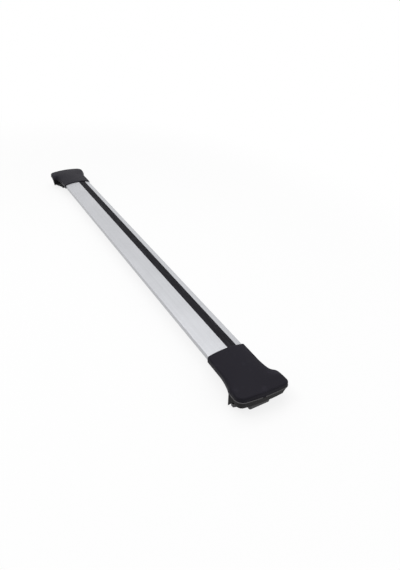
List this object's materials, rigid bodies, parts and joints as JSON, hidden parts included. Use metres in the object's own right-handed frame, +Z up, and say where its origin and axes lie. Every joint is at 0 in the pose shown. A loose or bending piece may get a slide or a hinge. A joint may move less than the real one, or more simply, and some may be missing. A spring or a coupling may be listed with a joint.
{
  "type": "roof rack crossbar",
  "caption": "Vehicle roof rack crossbar: a hollow crowned aluminium bar with an inlaid rubber strip, on flared plastic feet with screw-driven jaws that clamp raised side rails.",
  "frame": {"origin": "under the middle of the bar, on the level of the claws' undersides", "axes": "+X along the bar, +Y across it towards the rubber strip's side, +Z up"},
  "size_m": [1.1752, 0.1136, 0.048],
  "materials": {
    "bar_aluminium": "satin anodised",
    "strip_rubber": "matt ribbed",
    "cover_plastic": "satin",
    "base_plastic": "matt",
    "pad_rubber": "matt",
    "jaw_paint": "black coated",
    "zinc_steel": "zinc plated"
  },
  "bodies": {
    "crossbar": {"bar_profile": "bar_aluminium", "rubber_strip": "strip_rubber", "right_foot_cover": "cover_plastic", "right_foot_base": "base_plastic", "right_saddle_pad": "pad_rubber", "right_claw_pad": "pad_rubber", "right_clamp_nut": "zinc_steel", "right_bar_end_plug": "base_plastic", "right_bar_clamp_plate": "zinc_steel", "right_bar_screws": "zinc_steel", "left_foot_cover": "cover_plastic", "left_foot_base": "base_plastic", "left_saddle_pad": "pad_rubber", "left_claw_pad": "pad_rubber", "left_clamp_nut": "zinc_steel", "left_bar_end_plug": "base_plastic", "left_bar_clamp_plate": "zinc_steel", "left_bar_screws": "zinc_steel"},
    "right_jaw": {"right_moving_jaw": "jaw_paint", "right_jaw_pad": "pad_rubber", "right_bolt_washer": "zinc_steel"},
    "right_bolt": {"right_clamp_bolt": "zinc_steel", "right_bolt_clip": "zinc_steel"},
    "left_jaw": {"left_moving_jaw": "jaw_paint", "left_jaw_pad": "pad_rubber", "left_bolt_washer": "zinc_steel"},
    "left_bolt": {"left_clamp_bolt": "zinc_steel", "left_bolt_clip": "zinc_steel"}
  },
  "joints": [
    {"name": "right_jaw_slide", "type": "slide", "parent": "crossbar", "child": "right_jaw", "axis": [1, 0, 0], "range_m": [-0.01, 0.005]},
    {"name": "right_bolt_turn", "type": "hinge", "parent": "right_jaw", "child": "right_bolt", "pos_m": [0.5627, 0, 0.036], "axis": [1, 0, 0], "range_deg": [-3600, 1800]},
    {"name": "left_jaw_slide", "type": "slide", "parent": "crossbar", "child": "left_jaw", "axis": [-1, 0, 0], "range_m": [-0.01, 0.005]},
    {"name": "left_bolt_turn", "type": "hinge", "parent": "left_jaw", "child": "left_bolt", "pos_m": [-0.5627, 0, 0.036], "axis": [-1, 0, 0], "range_deg": [-3600, 1800]}
  ],
  "couplings": [
    {"joint": "right_bolt_turn", "follows": "right_jaw_slide", "rad_per_m": 6283.2},
    {"joint": "left_bolt_turn", "follows": "left_jaw_slide", "rad_per_m": 6283.2}
  ]
}
